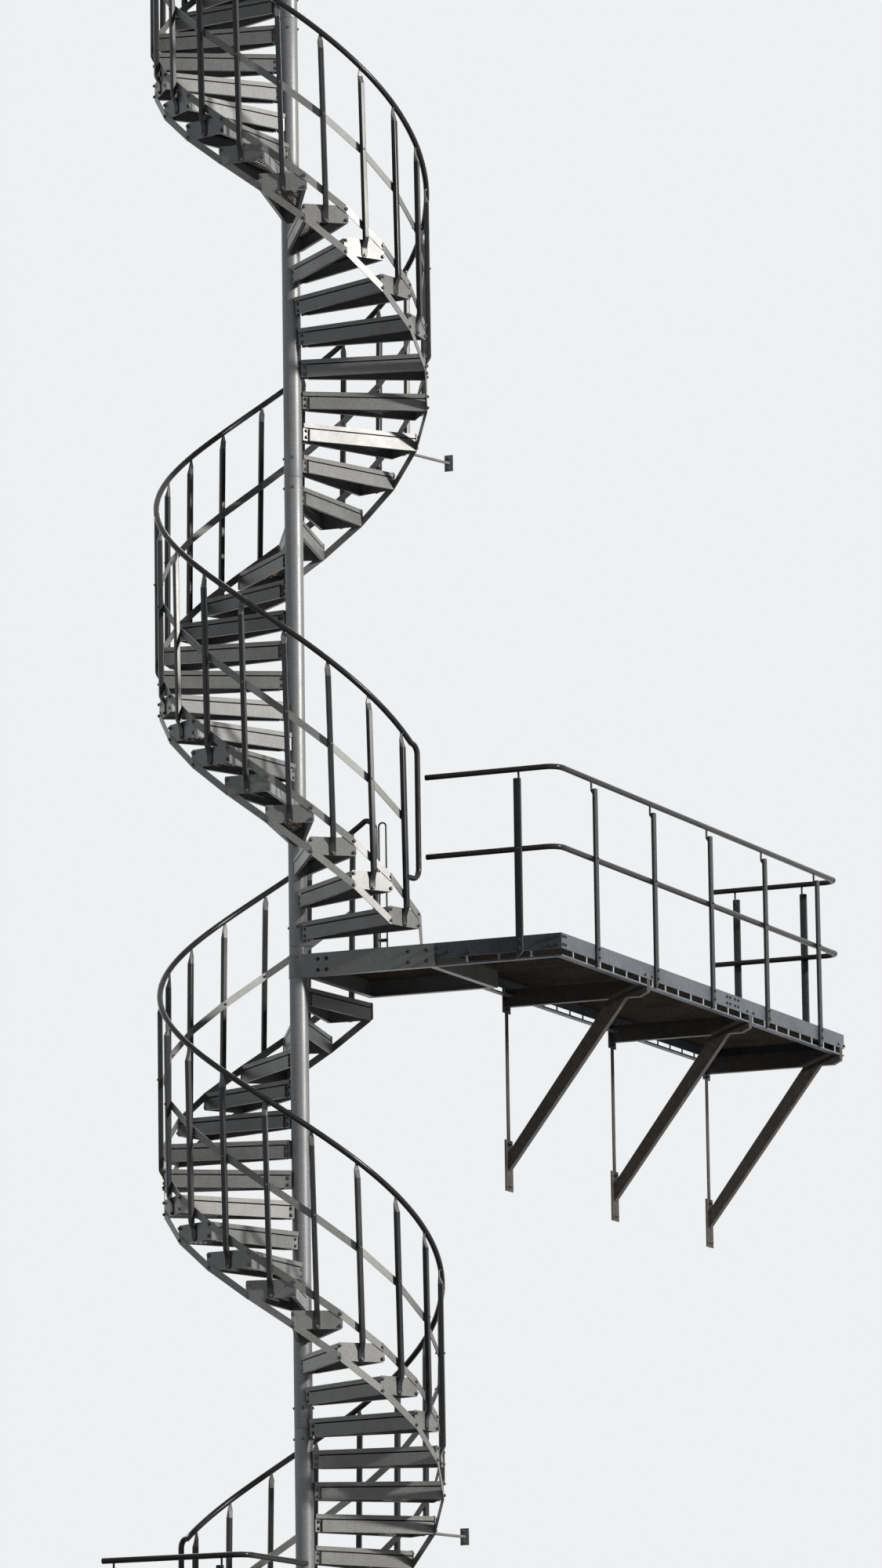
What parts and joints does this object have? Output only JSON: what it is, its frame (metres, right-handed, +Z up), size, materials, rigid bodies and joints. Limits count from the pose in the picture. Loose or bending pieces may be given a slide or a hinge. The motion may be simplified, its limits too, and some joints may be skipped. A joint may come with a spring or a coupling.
{
  "type": "spiral fire escape stair tower",
  "caption": "Spiral steel fire escape stair on a central column, with landings, helical guards and a wall-bracketed walkway.",
  "frame": {"origin": "centre of the column on the underside of its base plate", "axes": "+Z up the column; +X out from the wall that carries the walkway; +Y along that wall, away from the stair's open side"},
  "size_m": [2.897, 6.1, 13.919],
  "materials": {
    "galvanised": "hot-dip zinc, spangled and weathered",
    "rail_tube": "satin zinc tube",
    "grating": "hot-dip zinc grating",
    "bracket": "old zinc, brown-grey with dirt and rust"
  },
  "bodies": {
    "root": {"base_plate": "galvanised", "column_1": "galvanised", "column_2": "galvanised", "column_3": "galvanised", "column_4": "galvanised", "column_5": "galvanised", "column_cap": "galvanised", "lower_flight_treads": "galvanised", "lower_flight_balusters": "galvanised", "lower_flight_upper_band": "galvanised", "lower_flight_lower_band": "galvanised", "lower_flight_mid_rail": "galvanised", "lower_flight_handrail": "rail_tube", "upper_flight_treads": "galvanised", "upper_flight_balusters": "galvanised", "upper_flight_upper_band": "galvanised", "upper_flight_lower_band": "galvanised", "upper_flight_mid_rail": "galvanised", "upper_flight_handrail": "rail_tube", "exit_landing_frame": "galvanised", "exit_landing_deck": "grating", "middle_landing_frame": "galvanised", "middle_landing_deck": "grating", "top_landing_frame": "galvanised", "top_landing_deck": "grating", "exit_landing_guard": "rail_tube", "middle_landing_hairpin": "rail_tube", "top_landing_guard": "rail_tube", "walkway_frame": "galvanised", "walkway_deck": "grating", "walkway_stanchions": "galvanised", "walkway_top_rail": "rail_tube", "walkway_lower_rail": "rail_tube", "wall_bracket_1": "bracket", "wall_bracket_2": "bracket", "wall_bracket_3": "bracket", "wall_tie_upper": "galvanised", "wall_tie_lower": "galvanised"}
  },
  "joints": []
}
